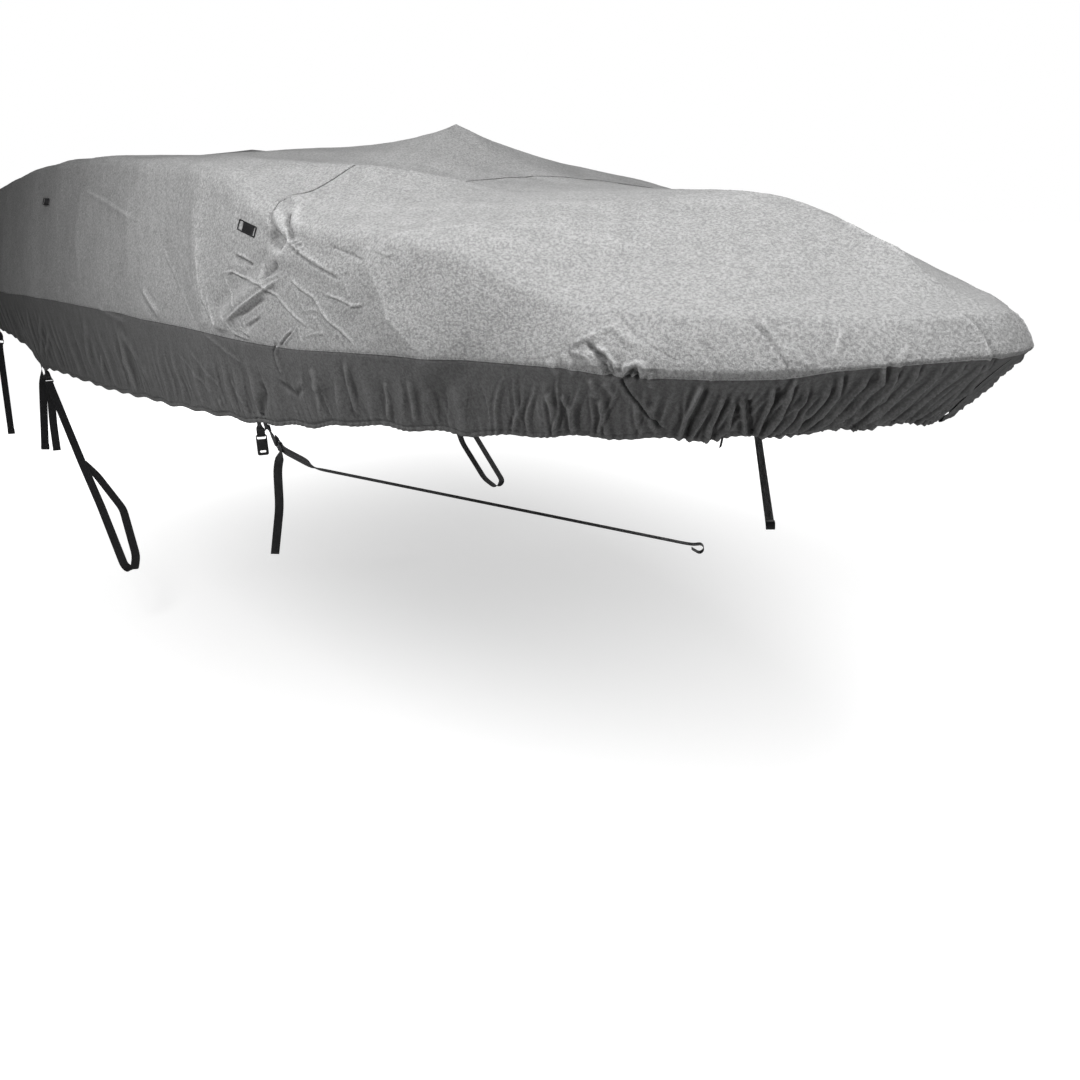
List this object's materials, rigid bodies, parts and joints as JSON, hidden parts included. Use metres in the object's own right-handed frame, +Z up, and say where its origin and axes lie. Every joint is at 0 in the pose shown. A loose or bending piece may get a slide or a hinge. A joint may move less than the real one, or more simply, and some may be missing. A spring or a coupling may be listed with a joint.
{
  "type": "boat cover",
  "caption": "Fitted cloth cover for a small open boat, raised on poles, with a dark elastic skirt and webbing ties.",
  "frame": {"origin": "cap of the forward pole, on which the cloth's sharp forward peak rests", "axes": "+X to the bow, +Y to port, +Z up"},
  "size_m": [6.612, 2.3382, 1.8925],
  "materials": {
    "top_cloth": "matte coated polyester, pale grey",
    "skirt_cloth": "matte coated polyester, dark grey",
    "webbing_weave": "black woven webbing",
    "buckle_plastic": "black moulded plastic"
  },
  "bodies": {
    "root": {"top_bow": "top_cloth", "top_aft": "top_cloth", "skirt_starboard": "skirt_cloth", "skirt_port": "skirt_cloth", "fore_starboard_loop": "webbing_weave", "fore_starboard_link": "buckle_plastic", "fore_starboard_tie": "webbing_weave", "fore_starboard_clip_loop": "webbing_weave", "fore_starboard_clip": "buckle_plastic", "aft_starboard_loop": "webbing_weave", "aft_starboard_link": "buckle_plastic", "aft_starboard_tie": "webbing_weave", "aft_starboard_drop": "webbing_weave", "stern_starboard_loop": "webbing_weave", "stern_starboard_link": "buckle_plastic", "stern_starboard_tie": "webbing_weave", "fore_slider_starboard": "buckle_plastic", "aft_slider_starboard": "buckle_plastic", "fore_port_loop": "webbing_weave", "fore_port_link": "buckle_plastic", "fore_port_tie": "webbing_weave", "fore_port_clip_loop": "webbing_weave", "fore_port_clip": "buckle_plastic", "aft_port_loop": "webbing_weave", "aft_port_link": "buckle_plastic", "aft_port_tie": "webbing_weave", "aft_port_drop": "webbing_weave", "stern_port_loop": "webbing_weave", "stern_port_link": "buckle_plastic", "stern_port_tie": "webbing_weave", "fore_slider_port": "buckle_plastic", "aft_slider_port": "buckle_plastic"}
  },
  "joints": []
}
